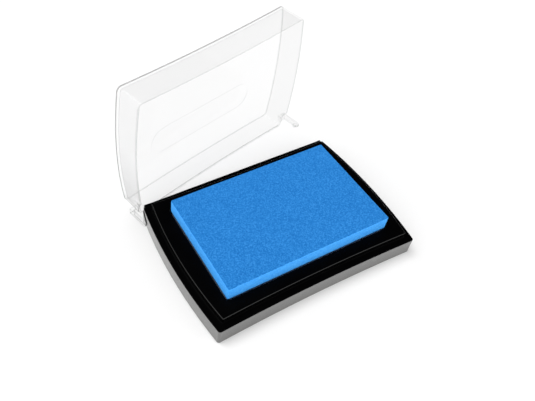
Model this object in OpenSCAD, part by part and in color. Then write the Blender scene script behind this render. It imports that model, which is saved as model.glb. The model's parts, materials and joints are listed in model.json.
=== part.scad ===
// Hinged ink pad for rubber stamping: a moulded tray with a raised foam pad,
// and a clear lid that hooks onto the tray's two back corners.
// Units are millimetres. The origin is the middle of the underside, +X runs along
// the length, +Y towards the hinge and +Z up.

/* [Tray] */
// Length between the tray's corners
tray_l = 98; // [94:1:104]
// Width between the tray's corners
tray_w = 70; // [68:0.2:74]
// Height of the ledge that the lid's rim closes on
ledge_h = 8.6; // [8.2:0.1:9]
// Width of that ledge, all round
ledge_w = 3.1; // [3:0.1:3.3]
// Height of the raised middle of the tray
tray_top = 11.5; // [11.3:0.1:11.8]
// Wall thickness of the tray
tray_wall = 1.7; // [1.5:0.1:1.9]
// How far the two short sides bulge outwards
end_bulge = 2.6; // [2:0.1:2.8]
// How far the two long sides curve inwards
side_hollow = 1.1; // [0:0.1:1.6]

/* [Pad] */
// Length of the foam pad
pad_l = 80; // [76:0.2:81]
// Width of the foam pad
pad_w = 50; // [46:0.2:51]
// Height of the inking face above the underside
pad_top = 17.8; // [16:0.1:18.5]
// Depth of the well that the pad is glued into
well_depth = 3.8; // [3.6:0.1:4]

/* [Lid] */
// Height of the lid from its rim to its top face
lid_h = 13.4; // [13:0.1:14]
// Wall thickness of the lid
lid_wall = 0.9; // [0.8:0.1:1]
// Thickness of the lid's top panel
lid_panel = 1.1; // [1:0.1:1.3]
// Set-back of the lid's outside from the tray's outside
lid_inset = 1.5; // [1.2:0.1:1.5]
// How far the shut lid sits forward of the tray's middle
lid_forward = 0.3; // [0.3:0.05:0.4]
// Swing of the standing lid away from the tray's back edge, in degrees
lid_swing = 14; // [0:0.1:14.5]

/* [Hidden] */

eps = 0.05;           // small overlap between the shapes of one piece
past = 1;             // how far a cut runs past the face that it opens
side_steps = 12;      // points along each bowed side
corner_steps = 5;     // points round each corner
tray_corner_r = 1;
least_corner_r = 0.5;

// Closing plate and its label
plate_t = 1.4;
plate_gap = 0.1;
post_r = 3;
post_x = 36;
post_y = 20;
label_l = 44;
label_w = 16;
label_r = 1.6;
label_t = 0.15;
label_recess = 0.3;
label_margin = 0.5;
label_y = -16;

// Well, and the layers glued into it
well_gap = 0.6;
well_l = pad_l + 2 * well_gap;
well_w = pad_w + 2 * well_gap;
well_floor = tray_top - well_depth;
well_r = 1.6;
carrier_t = 1;
carrier_gap = 0.25;
adhesive_t = 0.3;
felt_t = 2;
felt_inset = 0.4;
pad_r = 0.6;
carrier_top = well_floor + carrier_t;
adhesive_top = carrier_top + adhesive_t;
felt_top = adhesive_top + felt_t;

// Snap bumps that hold the carrier in the well
bump_r = 0.5;
bump_l = 6;
bump_x = 24;
bump_gap = 0.05;

// Lid in its closed place
lid_gap = 0.1;
lid_l = tray_l - 2 * lid_inset;
lid_w = tray_w - 2 * lid_inset;
lid_rim = ledge_h + lid_gap;
lid_top = lid_rim + lid_h;
lid_corner_r = 2;

// Hinge: two inward pegs on the lid's ears, and two sockets in the tray's ends
pin_to_back = 3.5;
pin_y = lid_w / 2 - lid_forward - pin_to_back;
pin_z = pin_to_back - 0.08;  // so that the open lid stands on its bowed back wall
pin_x = tray_l / 2 + end_bulge * (1 - pow(2 * pin_y / tray_w, 2));  // the tray's outside there
peg_r = 0.85;
peg_in = 0.8;         // reach of a peg inwards from pin_x
ear_out = 0.75;       // inner face of an ear, outwards from pin_x
ear_t = 0.95;
ear_r = 1.6;
socket_r = 1.6;
socket_in = 1.3;      // depth of a socket inwards from pin_x
socket_reach = 4;     // length of the cut, out through the tray's end
slot_angle = 38;      // slope of the slot that lets a peg out to the back
slot_len = 8;
swing_gap = 0.25;     // between the lid's rim and the tray's back edge as the lid swings
rim_relief_r = norm([tray_w / 2 - pin_y, ledge_h - pin_z]) + swing_gap;
ear_bridge_z = pin_z + rim_relief_r + 2 * eps;
ear_bridge_h = 1.8;

// Raised frame on the lid's top face
relief_l = 62;
relief_w = 15;
relief_y = 9;
relief_line = 0.9;
relief_t = 0.35;

tray_colour = [0.03, 0.03, 0.035];
plate_colour = [0.08, 0.08, 0.09];
label_colour = [0.92, 0.92, 0.9];
ink_colour = [0.16, 0.52, 0.86];
felt_colour = [0.1, 0.4, 0.75];
adhesive_colour = [0.85, 0.82, 0.7];
clear_colour = [0.9, 0.93, 0.95, 0.35];

// One straight side from a to b, without its end point
function side(a, b) = [for (i = [1 : side_steps - 1]) a + (b - a) * i / side_steps];

// One rounded corner about c, turning 90 degrees from angle a0
function corner(c, r, a0) =
    [for (i = [0 : corner_steps]) c + r * [cos(a0 + 90 * i / corner_steps), sin(a0 + 90 * i / corner_steps)]];

// A rounded rectangle, counter-clockwise, with points along its sides
function round_rect(l, w, r) =
    let (x = l / 2, y = w / 2)
    concat(
        corner([x - r, y - r], r, 0), side([x - r, y], [r - x, y]),
        corner([r - x, y - r], r, 90), side([-x, y - r], [-x, r - y]),
        corner([r - x, r - y], r, 180), side([r - x, -y], [x - r, -y]),
        corner([x - r, r - y], r, 270), side([x, r - y], [x, y - r])
    );

// The same rectangle with its ends bulged and its long sides hollowed
function bow(p, l, w) = [
    p.x * (1 + 2 * end_bulge / l * (1 - pow(2 * p.y / w, 2))),
    p.y * (1 - 2 * side_hollow / w * (1 - pow(2 * p.x / l, 2)))
];

module bowed_outline(l, w, r) {
    polygon([for (p = round_rect(l, w, r)) bow(p, l, w)]);
}

// A bowed block from z0 to z1, set in from the tray's outside
module bowed_block(inset, z0, z1) {
    translate([0, 0, z0])
        linear_extrude(z1 - z0)
            bowed_outline(tray_l - 2 * inset, tray_w - 2 * inset, max(least_corner_r, tray_corner_r - inset));
}

module plain_block(l, w, r, z0, z1) {
    translate([0, 0, z0])
        linear_extrude(z1 - z0)
            polygon(round_rect(l, w, r));
}

// A cylinder along X, from x0 to x1, on the hinge line
module hinge_round(r, x0, x1) {
    translate([x0, pin_y, pin_z])
        rotate([0, 90, 0])
            cylinder(h = x1 - x0, r = r, $fn = 48);
}

// One socket with its slot, at the +X end
module hinge_socket() {
    x0 = pin_x - socket_in;
    hinge_round(socket_r, x0, x0 + socket_reach);
    translate([x0, pin_y, pin_z])
        rotate([slot_angle, 0, 0])
            translate([0, 0, -socket_r])
                cube([socket_reach, slot_len, 2 * socket_r]);
}

module tray_hollow() {
    difference() {
        union() {
            bowed_block(tray_wall, -past, ledge_h - tray_wall);
            bowed_block(ledge_w + tray_wall, ledge_h - tray_wall - eps, tray_top - tray_wall);
        }
        plain_block(
            well_l + 2 * tray_wall, well_w + 2 * tray_wall, well_r + tray_wall,
            well_floor - tray_wall, tray_top
        );
    }
}

module tray() {
    color(tray_colour)
        difference() {
            union() {
                bowed_block(0, 0, ledge_h);
                bowed_block(ledge_w, ledge_h - eps, tray_top);
            }
            difference() {
                tray_hollow();
                for (x = [-post_x, post_x], y = [-post_y, post_y])
                    translate([x, y, plate_t])
                        cylinder(h = well_floor, r = post_r, $fn = 40);
            }
            plain_block(well_l, well_w, well_r, well_floor, tray_top + past);
            hinge_socket();
            mirror([1, 0, 0])
                hinge_socket();
        }
}

module base_plate() {
    color(plate_colour)
        difference() {
            bowed_block(tray_wall + plate_gap, 0, plate_t);
            translate([0, label_y, 0])
                plain_block(
                    label_l + 2 * label_margin, label_w + 2 * label_margin, label_r + label_margin,
                    -past, label_recess
                );
        }
}

module base_label() {
    color(label_colour)
        translate([0, label_y, 0])
            plain_block(label_l, label_w, label_r, label_recess - label_t, label_recess);
}

module pad_carrier() {
    color(plate_colour)
        union() {
            plain_block(
                well_l - 2 * carrier_gap, well_w - 2 * carrier_gap, well_r - carrier_gap,
                well_floor, carrier_top
            );
            for (x = [-bump_x, bump_x], s = [-1, 1])
                translate([x - bump_l / 2, s * (well_w / 2 - bump_r - bump_gap), well_floor + bump_r])
                    rotate([0, 90, 0])
                        cylinder(h = bump_l, r = bump_r, $fn = 24);
        }
}

module adhesive_sheet() {
    color(adhesive_colour)
        plain_block(pad_l - 2 * felt_inset, pad_w - 2 * felt_inset, pad_r, carrier_top, adhesive_top);
}

module felt_reservoir() {
    color(felt_colour)
        plain_block(pad_l - 2 * felt_inset, pad_w - 2 * felt_inset, pad_r, adhesive_top, felt_top);
}

module foam_pad() {
    color(ink_colour)
        plain_block(pad_l, pad_w, pad_r, felt_top, pad_top);
}

// One ear with its peg, at the +X end of the closed lid
module lid_ear() {
    x0 = pin_x + ear_out;
    hinge_round(ear_r, x0, x0 + ear_t);
    hinge_round(peg_r, pin_x - peg_in, x0 + eps);
    translate([x0, pin_y - ear_r, pin_z])
        cube([ear_t, 2 * ear_r, ear_bridge_z + ear_bridge_h - pin_z]);
    translate([lid_l / 2 - lid_wall / 2, pin_y - ear_r, ear_bridge_z])
        cube([x0 + ear_t - lid_l / 2 + lid_wall / 2, 2 * ear_r, ear_bridge_h]);
}

module lid_shell() {
    difference() {
        translate([0, -lid_forward, lid_rim])
            linear_extrude(lid_h)
                bowed_outline(lid_l, lid_w, lid_corner_r);
        translate([0, -lid_forward, lid_rim - past])
            linear_extrude(lid_h + past - lid_panel)
                bowed_outline(lid_l - 2 * lid_wall, lid_w - 2 * lid_wall, lid_corner_r - lid_wall);
        // lets the back of the rim swing past the tray's back edge
        hinge_round(rim_relief_r, -pin_x, pin_x);
    }
}

module lid_relief() {
    translate([0, relief_y, 0])
        difference() {
            plain_block(relief_l, relief_w, relief_w / 2 - eps, lid_top - eps, lid_top + relief_t);
            plain_block(
                relief_l - 2 * relief_line, relief_w - 2 * relief_line, relief_w / 2 - relief_line - eps,
                lid_top - past, lid_top + past
            );
        }
}

// The lid hooked on the tray and shut
module lid_closed() {
    lid_shell();
    lid_relief();
    lid_ear();
    mirror([1, 0, 0])
        lid_ear();
}

// The lid stood open on its back wall, its left peg in the socket, the right one sprung out
module lid() {
    color(clear_colour)
        translate([-pin_x, pin_y, pin_z])
            rotate([-90, 0, lid_swing])
                translate([pin_x, -pin_y, -pin_z])
                    lid_closed();
}

tray();
base_plate();
base_label();
pad_carrier();
adhesive_sheet();
felt_reservoir();
foam_pad();
lid();
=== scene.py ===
"""The looks of a hinged ink pad: a glossy black tray, a blue foam pad and a clear lid.

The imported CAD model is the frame, in metres. The tray, the plate, the lid and the foam are finished
meshes that stand for their CAD nodes. The hidden layers stay CAD nodes and get their materials here.
"""

import json
import math

import bmesh
import bpy
from mathutils import Matrix, Vector, noise


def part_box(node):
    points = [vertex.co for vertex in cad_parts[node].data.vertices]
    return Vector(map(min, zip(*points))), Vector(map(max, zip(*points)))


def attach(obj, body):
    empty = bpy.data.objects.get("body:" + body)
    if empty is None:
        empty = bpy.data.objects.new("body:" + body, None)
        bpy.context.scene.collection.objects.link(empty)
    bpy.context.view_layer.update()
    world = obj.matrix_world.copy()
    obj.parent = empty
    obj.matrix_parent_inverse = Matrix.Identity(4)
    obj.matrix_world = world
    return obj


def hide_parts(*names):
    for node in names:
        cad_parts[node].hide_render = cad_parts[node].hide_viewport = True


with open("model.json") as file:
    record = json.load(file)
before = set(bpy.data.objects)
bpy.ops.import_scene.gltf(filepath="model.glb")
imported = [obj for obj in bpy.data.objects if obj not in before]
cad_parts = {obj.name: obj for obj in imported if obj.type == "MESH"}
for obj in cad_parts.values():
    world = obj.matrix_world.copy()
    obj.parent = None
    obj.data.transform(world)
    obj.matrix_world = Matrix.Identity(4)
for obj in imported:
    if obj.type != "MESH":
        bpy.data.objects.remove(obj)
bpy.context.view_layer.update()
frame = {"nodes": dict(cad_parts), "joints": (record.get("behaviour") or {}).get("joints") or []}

MM = 0.001

# Camera: where it looks, from how far and from which side
LOOK_AT = Vector((-6.65, 43.4, 0)) * MM
CAMERA_DISTANCE = 294.9 * MM
CAMERA_HEADING = 32.9           # degrees from +Y towards +X
CAMERA_ELEVATION = 47.2
CAMERA_ROLL = 5.15
CAMERA_LENS = 40.6
CAMERA_SENSOR = 36
CAMERA_SHIFT = (0.098, -0.047)

# Finished meshes
WELD = 0.002 * MM
SHARP_EDGE = math.radians(30)
FLAT_ANGLE = math.radians(0.2)
CREASE_ANGLE = math.radians(35)
EDGE_SEGMENTS = 3
LID_SEGMENTS = 2
TRAY_EDGE = 0.3 * MM
TRAY_LEDGE = 8.6 * MM           # height of the tray's outer ledge
PLATE_EDGE = 0.2 * MM
LID_EDGE = 0.2 * MM


def make_camera():
    data = bpy.data.cameras.new("camera")
    camera = bpy.data.objects.new("camera", data)
    bpy.context.scene.collection.objects.link(camera)
    heading = math.radians(CAMERA_HEADING)
    elevation = math.radians(CAMERA_ELEVATION)
    forward = Vector((
        math.sin(heading) * math.cos(elevation),
        math.cos(heading) * math.cos(elevation),
        -math.sin(elevation),
    ))
    level = forward.to_track_quat("-Z", "Y").to_matrix()
    roll = Matrix.Rotation(math.radians(CAMERA_ROLL), 3, "Z")
    camera.rotation_mode = "QUATERNION"
    camera.rotation_quaternion = (level @ roll).to_quaternion()
    camera.location = LOOK_AT - forward * CAMERA_DISTANCE
    data.sensor_width = CAMERA_SENSOR
    data.lens = CAMERA_LENS
    data.shift_x, data.shift_y = CAMERA_SHIFT
    data.clip_start = 0.01
    data.clip_end = 20
    bpy.context.scene.camera = camera
    return camera


# ---------------------------------------------------------------- meshes

def link(name, mesh, material):
    piece = bpy.data.objects.new(name, mesh)
    bpy.context.scene.collection.objects.link(piece)
    mesh.materials.append(material)
    return piece


def welded(node):
    """The node's mesh as one welded surface with its flat faces whole."""
    bm = bmesh.new()
    bm.from_mesh(frame["nodes"][node].data)
    bmesh.ops.remove_doubles(bm, verts=bm.verts, dist=WELD)
    bmesh.ops.dissolve_limit(bm, angle_limit=FLAT_ANGLE, verts=bm.verts, edges=bm.edges)
    return bm


def sharp_edges(bm):
    found = []
    for edge in bm.edges:
        if len(edge.link_faces) == 2 and edge.calc_face_angle(0) > SHARP_EDGE:
            found.append(edge)
    return found


def round_edges(bm, edges, width, segments=EDGE_SEGMENTS, material=-1):
    bmesh.ops.bevel(
        bm, geom=edges, offset=width, offset_type="OFFSET", segments=segments, profile=0.5,
        affect="EDGES", clamp_overlap=False, material=material,
    )


def smooth_mesh(bm, name):
    for face in bm.faces:
        face.smooth = True
    mesh = bpy.data.meshes.new(name)
    bm.to_mesh(mesh)
    bm.free()
    mesh.set_sharp_from_angle(angle=CREASE_ANGLE)
    return mesh


def finished(node, name, body, material, width):
    """A copy of a CAD node with its sharp edges rounded, which stands for the node."""
    bm = welded(node)
    round_edges(bm, sharp_edges(bm), width)
    piece = link(name, smooth_mesh(bm, name), material)
    weighted = piece.modifiers.new("shading", "WEIGHTED_NORMAL")
    weighted.keep_sharp = True
    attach(piece, body)
    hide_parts(node)
    return piece


# ---------------------------------------------------------------- materials

class Material:
    """A Principled material with short calls for the nodes that feed it."""

    def __init__(self, name, color, roughness, **sockets):
        self.data = bpy.data.materials.new(name)
        self.data.use_nodes = True
        self.tree = self.data.node_tree
        self.tree.nodes.clear()
        self.out = self.tree.nodes.new("ShaderNodeOutputMaterial")
        self.shader = self.node("BsdfPrincipled")
        self.link(self.shader.outputs[0], self.out.inputs["Surface"])
        self.set("Base Color", (*color, 1))
        self.set("Roughness", roughness)
        for key, value in sockets.items():
            self.set(key.replace("_", " ").title().replace("Ior", "IOR"), value)

    def node(self, kind, **values):
        node = self.tree.nodes.new("ShaderNode" + kind)
        for key, value in values.items():
            setattr(node, key, value)
        return node

    def link(self, source, target):
        self.tree.links.new(source, target)

    def set(self, socket, value):
        self.shader.inputs[socket].default_value = value

    def color(self, source):
        self.link(source, self.shader.inputs["Base Color"])

    def roughness(self, source):
        self.link(source, self.shader.inputs["Roughness"])

    def position(self):
        return self.node("TexCoord").outputs["Object"]

    def noise(self, size, detail=3.0, roughness=0.55):
        """Soft noise whose grains are about size metres."""
        node = self.node("TexNoise")
        node.inputs["Scale"].default_value = 1 / size
        node.inputs["Detail"].default_value = detail
        node.inputs["Roughness"].default_value = roughness
        self.link(self.position(), node.inputs["Vector"])
        return node.outputs["Fac"]

    def ramp(self, value, stops):
        """Colours or greys along a value, as (place, colour) pairs."""
        node = self.node("ValToRGB")
        elements = node.color_ramp.elements
        while len(elements) < len(stops):
            elements.new(0.5)
        for element, (place, color) in zip(elements, stops):
            element.position = place
            element.color = (*color, 1) if isinstance(color, tuple) else (color, color, color, 1)
        self.link(value, node.inputs["Fac"])
        return node.outputs["Color"]

    def mix(self, factor, a, b, blend="MIX"):
        node = self.node("Mix", data_type="RGBA", blend_type=blend)
        for socket, value in ((node.inputs[0], factor), (node.inputs[6], a), (node.inputs[7], b)):
            if isinstance(value, bpy.types.NodeSocket):
                self.link(value, socket)
            else:
                socket.default_value = value if isinstance(value, float) else (*value, 1)
        return node.outputs[2]

    def upright(self, low, high):
        """1 on upright faces, falling to 0 on those that look up or down."""
        facing = self.node("SeparateXYZ")
        self.link(self.node("NewGeometry").outputs["Normal"], facing.inputs[0])
        steepness = self.node("Math", operation="ABSOLUTE")
        self.link(facing.outputs["Z"], steepness.inputs[0])
        return self.ramp(steepness.outputs[0], [(low, 1.0), (high, 0.0)])

    def facing(self):
        """0 where a surface is seen face-on, 1 where it is seen along itself."""
        node = self.node("LayerWeight")
        node.inputs["Blend"].default_value = 0.5
        return node.outputs["Facing"]

    def height(self, operation, limit):
        place = self.node("SeparateXYZ")
        self.link(self.position(), place.inputs[0])
        compare = self.node("Math", operation=operation)
        self.link(place.outputs["Z"], compare.inputs[0])
        compare.inputs[1].default_value = limit
        return compare.outputs[0]

    def below(self, limit):
        """1 on what lies lower than limit, 0 above it."""
        return self.height("LESS_THAN", limit)

    def above(self, limit):
        """1 on what lies higher than limit, 0 below it."""
        return self.height("GREATER_THAN", limit)

    def times(self, a, b):
        product = self.node("Math", operation="MULTIPLY")
        self.link(a, product.inputs[0])
        self.link(b, product.inputs[1])
        return product.outputs[0]

    def bump(self, height, strength, depth):
        node = self.node("Bump")
        node.inputs["Strength"].default_value = strength
        node.inputs["Distance"].default_value = depth
        self.link(height, node.inputs["Height"])
        self.link(node.outputs["Normal"], self.shader.inputs["Normal"])


def tray_plastic():
    """Black plastic with polished outer walls and a top that shines at a low angle. The walls' lighter
    base colour is painted light, and the top's near-black base is painted shade.
    """
    m = Material(
        "black_gloss_plastic", (0.002, 0.002, 0.002), 0.3, specular_ior_level=0.02, ior=1.5,
        coat_roughness=0.06, coat_ior=2.0,
    )
    painted_light_walls = m.times(m.upright(0.3, 0.8), m.below(TRAY_LEDGE - TRAY_EDGE))
    # painted light: the upright outer walls get a lighter, slightly warm base colour than the top, whose
    # near-black base is painted shade
    m.color(m.mix(painted_light_walls, (0.0006, 0.0006, 0.0007), (0.05, 0.05, 0.047)))
    edges = m.times(m.upright(0.8, 0.97), m.above(TRAY_LEDGE + TRAY_EDGE))
    low_angle = m.ramp(m.facing(), [(0.4, 0.0), (0.95, 0.5)])
    shine = m.mix(edges, low_angle, (0.35, 0.35, 0.35))
    m.link(m.mix(painted_light_walls, shine, (1.0, 1.0, 1.0)), m.shader.inputs["Coat Weight"])
    m.roughness(m.ramp(m.noise(9 * MM), [(0.3, 0.26), (0.7, 0.36)]))
    m.bump(m.noise(5 * MM, detail=1.0), 0.04, 0.05 * MM)
    return m.data


def plate_plastic():
    m = Material("black_matt_plastic", (0.012, 0.012, 0.013), 0.5)
    m.roughness(m.ramp(m.noise(0.5 * MM), [(0.3, 0.42), (0.7, 0.6)]))
    m.bump(m.noise(0.35 * MM), 0.35, 0.05 * MM)
    return m.data


def label_paper():
    m = Material("label_paper", (0.8, 0.8, 0.77), 0.85)
    fibres = m.noise(0.6 * MM, detail=6.0)
    m.color(m.ramp(fibres, [(0.3, (0.72, 0.72, 0.69)), (0.7, (0.84, 0.84, 0.82))]))
    m.bump(fibres, 0.2, 0.03 * MM)
    return m.data


def adhesive_film():
    m = Material("adhesive_film", (0.62, 0.58, 0.42), 0.35)
    m.color(m.ramp(m.noise(2 * MM), [(0.3, (0.55, 0.51, 0.36)), (0.7, (0.68, 0.64, 0.48))]))
    m.bump(m.noise(1.2 * MM), 0.2, 0.04 * MM)
    return m.data


def inked_felt():
    m = Material("inked_felt", (0.01, 0.12, 0.42), 0.95, sheen_weight=0.3)
    fibres = m.noise(0.3 * MM, detail=8.0, roughness=0.7)
    m.color(m.ramp(fibres, [(0.3, (0.006, 0.07, 0.28)), (0.7, (0.02, 0.17, 0.52))]))
    m.bump(fibres, 0.8, 0.15 * MM)
    return m.data


def inked_foam():
    """Ink-soaked foam: a grainy, deeper blue face. Its upright sides are painted paler: painted light,
    as if they caught more light than the top.
    """
    m = Material("inked_foam", (0.02, 0.2, 0.6), 0.8, specular_ior_level=0.2)
    grain = m.noise(0.6 * MM, detail=2.0, roughness=0.7)
    patches = m.noise(7 * MM, detail=2.0)
    face = m.ramp(grain, [
        (0.3, (0.001, 0.105, 0.385)),
        (0.5, (0.0105, 0.177, 0.525)),
        (0.7, (0.044, 0.282, 0.71)),
    ])
    blotches = m.ramp(patches, [(0.35, (0.011, 0.17, 0.51)), (0.65, (0.017, 0.2, 0.58))])
    face = m.mix(0.25, face, blotches)
    # painted light: the upright sides get a paler, brighter blue than the top face
    side = m.ramp(grain, [(0.3, (0.035, 0.31, 0.9)), (0.7, (0.085, 0.45, 1.0))])
    m.color(m.mix(m.upright(0.35, 0.8), face, side))
    m.bump(grain, 0.5, 0.15 * MM)
    return m.data


def clear_plastic(name, face_on, middle, edge_on):
    """Clear styrene in a thin wall. The greys are how much shows through it, from face-on to edge-on."""
    m = Material(name, (0.9, 0.91, 0.92), 0.02, metallic=1.0)
    m.roughness(m.ramp(m.noise(8 * MM), [(0.35, 0.01), (0.7, 0.05)]))
    m.bump(m.noise(7 * MM, detail=1.0), 0.06, 0.05 * MM)
    facing = m.facing()
    tinted = m.node("BsdfTransparent")
    m.link(m.ramp(facing, [(0.0, face_on), (0.7, middle), (1.0, edge_on)]), tinted.inputs["Color"])
    glossy = m.node("MixShader")
    m.link(m.ramp(facing, [(0.0, 0.012), (0.6, 0.022), (1.0, 0.14)]), glossy.inputs[0])
    m.link(tinted.outputs[0], glossy.inputs[1])
    m.link(m.shader.outputs[0], glossy.inputs[2])
    seen = m.node("MixShader")
    m.link(m.node("LightPath").outputs["Is Camera Ray"], seen.inputs[0])
    m.link(m.node("BsdfTransparent").outputs[0], seen.inputs[1])
    m.link(glossy.outputs[0], seen.inputs[2])
    m.link(seen.outputs[0], m.out.inputs["Surface"])
    return m.data


# ---------------------------------------------------------------- pieces

FOAM_STEP = 1.0 * MM       # spacing of the foam's surface points
FOAM_CORNER = 0.6 * MM
FOAM_EDGE = 0.2 * MM
FOAM_WAVE = 0.05 * MM      # how far the cut foam strays from flat


def steps(low, high, inset, spacing):
    """Places from low to high, close together within inset of the ends."""
    edge = [low, low + inset * 0.35, low + inset * 0.7, low + inset]
    count = max(2, round((high - low - 2 * inset) / spacing))
    middle = [low + inset + (high - low - 2 * inset) * i / count for i in range(1, count)]
    return edge + middle + [low + high - place for place in reversed(edge)]


def rounded(point, low, high):
    """A point of the foam's box, moved onto its rounded corners and edges."""
    x, y, z = point
    inner_x = min(max(x, low.x + FOAM_CORNER), high.x - FOAM_CORNER)
    inner_y = min(max(y, low.y + FOAM_CORNER), high.y - FOAM_CORNER)
    out = Vector((x - inner_x, y - inner_y))
    side = max(abs(out.x), abs(out.y))
    if side > 0:
        out = out.normalized() * side
    depth = min(side, FOAM_CORNER)
    inset = FOAM_EDGE - min(high.z - z, z - low.z, FOAM_EDGE)
    reach = FOAM_CORNER - FOAM_EDGE + math.sqrt(max(0, FOAM_EDGE ** 2 - inset ** 2))
    if depth > reach:
        out = out * (reach / depth)
    return Vector((inner_x + out.x, inner_y + out.y, z))


def foam_mesh():
    low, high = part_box("foam_pad")
    xs = steps(low.x, high.x, FOAM_CORNER, FOAM_STEP)
    ys = steps(low.y, high.y, FOAM_CORNER, FOAM_STEP)
    zs = steps(low.z, high.z, FOAM_EDGE, FOAM_STEP)
    bm = bmesh.new()
    grid = {}

    def vertex(i, j, k):
        key = (i, j, k)
        if key not in grid:
            place = rounded((xs[i], ys[j], zs[k]), low, high)
            grid[key] = bm.verts.new(place)
        return grid[key]

    def quads(columns, rows, at):
        for a in range(columns - 1):
            for b in range(rows - 1):
                bm.faces.new([at(a, b), at(a + 1, b), at(a + 1, b + 1), at(a, b + 1)])

    nx, ny, nz = len(xs), len(ys), len(zs)
    quads(nx, ny, lambda a, b: vertex(a, b, nz - 1))
    quads(ny, nx, lambda a, b: vertex(b, a, 0))
    quads(nx, nz, lambda a, b: vertex(a, 0, b))
    quads(nz, nx, lambda a, b: vertex(b, ny - 1, a))
    quads(nz, ny, lambda a, b: vertex(0, b, a))
    quads(ny, nz, lambda a, b: vertex(nx - 1, a, b))
    bm.normal_update()
    for v in bm.verts:
        sway = noise.noise(v.co / (5 * MM)) + 0.5 * noise.noise(v.co / (1.6 * MM))
        v.co -= v.normal * FOAM_WAVE * (0.5 + 0.5 * sway)
    return smooth_mesh(bm, "foam_pad_soft")


def make_foam(material):
    piece = link("foam_pad_soft", foam_mesh(), material)
    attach(piece, "base")
    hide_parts("foam_pad")
    return piece


# The lid's materials are copies of one clear plastic in different greys. All but WALL are painted shade:
# a little on the top panel, dark or pale lines on the edges, and a greyer tint on the right wall and on
# the front wall's rim and edges.
WALL, PANEL, DARK_SHADED_EDGE, PALE_SHADED_EDGE, SHADED_WALL = range(5)      # the lid's materials, in order
FRAME_HEIGHT = 0.35 * MM                   # of the raised frame on the lid's top
FRAME_REACH = Vector((33, 20)) * MM        # half the area that holds that frame
PANEL_DEPTH = 1.6 * MM                     # from the top of that frame to below the lid's top panel
PANEL_EDGE = 0.8 * MM                      # how much of the panel's edge looks dark
RIM = 8.7 * MM                             # height of the shut lid's rim
BACK_WALL = 29 * MM                        # where the shut lid's back wall begins
FRONT_WALL = -31 * MM                      # where its front wall begins
RIGHT_WALL = 46 * MM                       # where its right wall begins


def shut_lid():
    """The turn about the hinge that takes the lid from standing open to shut."""
    hinge = frame["joints"][0]
    place = Matrix.Translation(Vector(hinge["pos_m"]))
    turn = Matrix.Rotation(math.radians(hinge["range_deg"][1]), 4, Vector(hinge["axis"]))
    return place @ turn @ place.inverted()


def lid_material(place, up, rounded_edge, top):
    """Which material a face of the shut lid has. The greys of its edges and walls are painted shade for
    the light trapped in the lid's edges, darker or paler by which side of the lid a face is on.
    """
    right = place.x > RIGHT_WALL
    back = place.y > BACK_WALL
    in_top = place.z > top - PANEL_DEPTH
    if in_top and abs(place.x) < FRAME_REACH.x and abs(place.y) < FRAME_REACH.y:
        return PANEL
    # painted shade: faces get darker or paler greys by which side of the lid they are on
    if not in_top and place.y < FRONT_WALL and (rounded_edge or up.z < -0.9):
        return SHADED_WALL
    if rounded_edge:
        return PALE_SHADED_EDGE if right or in_top == back else DARK_SHADED_EDGE
    if in_top and abs(up.z) > 0.9:
        return PANEL
    if place.z > top - FRAME_HEIGHT - PANEL_EDGE:
        return PALE_SHADED_EDGE if right or back else DARK_SHADED_EDGE
    if place.z < RIM + LID_EDGE and up.z < -0.9:
        return DARK_SHADED_EDGE if back else PALE_SHADED_EDGE
    return SHADED_WALL if right else WALL


def make_lid():
    """The lid's panes are clear, and its edges show as thin grey lines of painted shade."""
    bm = welded("lid")
    shut = shut_lid()
    opened = shut.inverted()
    top = max((shut @ vert.co).z for vert in bm.verts)
    line = Vector((0, 0, top - FRAME_HEIGHT - PANEL_EDGE))
    bmesh.ops.bisect_plane(
        bm, geom=bm.verts[:] + bm.edges[:] + bm.faces[:], plane_co=opened @ line,
        plane_no=opened.to_3x3() @ Vector((0, 0, 1)),
    )
    round_edges(bm, sharp_edges(bm), LID_EDGE, LID_SEGMENTS, material=DARK_SHADED_EDGE)
    bm.normal_update()
    for face in bm.faces:
        up = shut.to_3x3() @ face.normal
        place = shut @ face.calc_center_median()
        face.material_index = lid_material(place, up, face.material_index == DARK_SHADED_EDGE, top)
    mesh = smooth_mesh(bm, "clear_lid_shell")
    piece = link("clear_lid_shell", mesh, clear_plastic("clear_wall", 0.988, 0.978, 0.6))
    # painted shade: greyer copies of the clear plastic for the panel, the edge lines and the grey walls
    mesh.materials.append(clear_plastic("clear_panel", 0.98, 0.97, 0.7))
    mesh.materials.append(clear_plastic("clear_dark_shaded_edge", 0.6, 0.45, 0.2))
    mesh.materials.append(clear_plastic("clear_pale_shaded_edge", 0.88, 0.8, 0.35))
    mesh.materials.append(clear_plastic("clear_shaded_wall", 0.955, 0.945, 0.8))
    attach(piece, "lid")
    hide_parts("lid")
    return piece


# ---------------------------------------------------------------- stage

FLOOR_SIZE = 4                                # half its width, in metres
ROOM_LIGHT = 1.85
FLAG_TOWARDS = Vector((0.40, 0.58, 0.74))     # from the object to the middle of the dark flag
SUN_LIGHT = 1.3
SUN_SOFTNESS = math.radians(35)
SUN_ALONG = Vector((0.2, -0.3, -1))


def make_floor():
    bm = bmesh.new()
    bmesh.ops.create_grid(bm, x_segments=1, y_segments=1, size=FLOOR_SIZE)
    mesh = bpy.data.meshes.new("floor")
    bm.to_mesh(mesh)
    bm.free()
    m = Material("pale_floor", (0.84, 0.84, 0.84), 0.9, specular_ior_level=0.0)
    link("floor", mesh, m.data)


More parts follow.
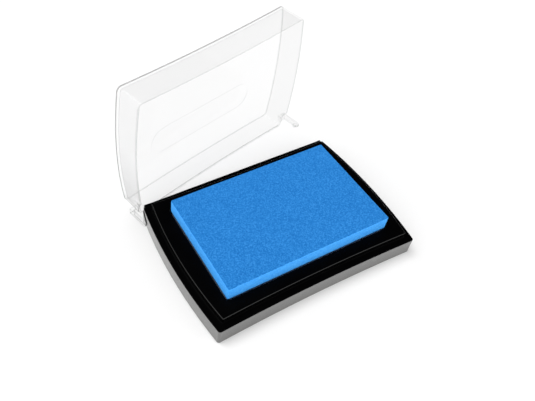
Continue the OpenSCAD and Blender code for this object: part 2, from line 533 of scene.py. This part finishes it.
def make_lights():
    data = bpy.data.lights.new("soft_sun", "SUN")
    data.energy = SUN_LIGHT
    data.angle = SUN_SOFTNESS
    sun = bpy.data.objects.new("soft_sun", data)
    sun.rotation_mode = "QUATERNION"
    sun.rotation_quaternion = SUN_ALONG.to_track_quat("-Z", "Y")
    bpy.context.scene.collection.objects.link(sun)


def make_world():
    """A pale room, brightest in front, with a dark flag high behind that keeps the tray's top black."""
    world = bpy.data.worlds.new("studio")
    world.use_nodes = True
    tree = world.node_tree
    tree.nodes.clear()
    out = tree.nodes.new("ShaderNodeOutputWorld")
    light = tree.nodes.new("ShaderNodeBackground")
    light.inputs["Strength"].default_value = ROOM_LIGHT
    coords = tree.nodes.new("ShaderNodeTexCoord")
    dot = tree.nodes.new("ShaderNodeVectorMath")
    dot.operation = "DOT_PRODUCT"
    dot.inputs[1].default_value = FLAG_TOWARDS.normalized()
    spread = tree.nodes.new("ShaderNodeMapRange")
    spread.inputs["From Min"].default_value = -1
    ramp = tree.nodes.new("ShaderNodeValToRGB")
    elements = ramp.color_ramp.elements
    elements.new(0.5)
    elements.new(0.5)
    for element, (place, level) in zip(elements, ((0.2, 1.0), (0.6, 0.62), (0.85, 0.62), (0.92, 0.0))):
        element.position = place
        element.color = (level, level, level, 1)
    tree.links.new(coords.outputs["Generated"], dot.inputs[0])
    tree.links.new(dot.outputs["Value"], spread.inputs["Value"])
    tree.links.new(spread.outputs["Result"], ramp.inputs["Fac"])
    tree.links.new(ramp.outputs["Color"], light.inputs["Color"])
    tree.links.new(light.outputs[0], out.inputs["Surface"])
    bpy.context.scene.world = world


make_camera()
black = tray_plastic()
matt = plate_plastic()
finished("tray", "tray_shell", "base", black, TRAY_EDGE)
finished("base_plate", "base_plate_shell", "base", matt, PLATE_EDGE)
make_foam(inked_foam())
make_lid()
for node, material in (
    ("base_label", label_paper()),
    ("pad_carrier", matt),
    ("adhesive_sheet", adhesive_film()),
    ("felt_reservoir", inked_felt()),
):
    frame["nodes"][node].data.materials.clear()
    frame["nodes"][node].data.materials.append(material)

make_floor()
make_lights()
make_world()
bpy.context.scene.view_settings.view_transform = "Standard"
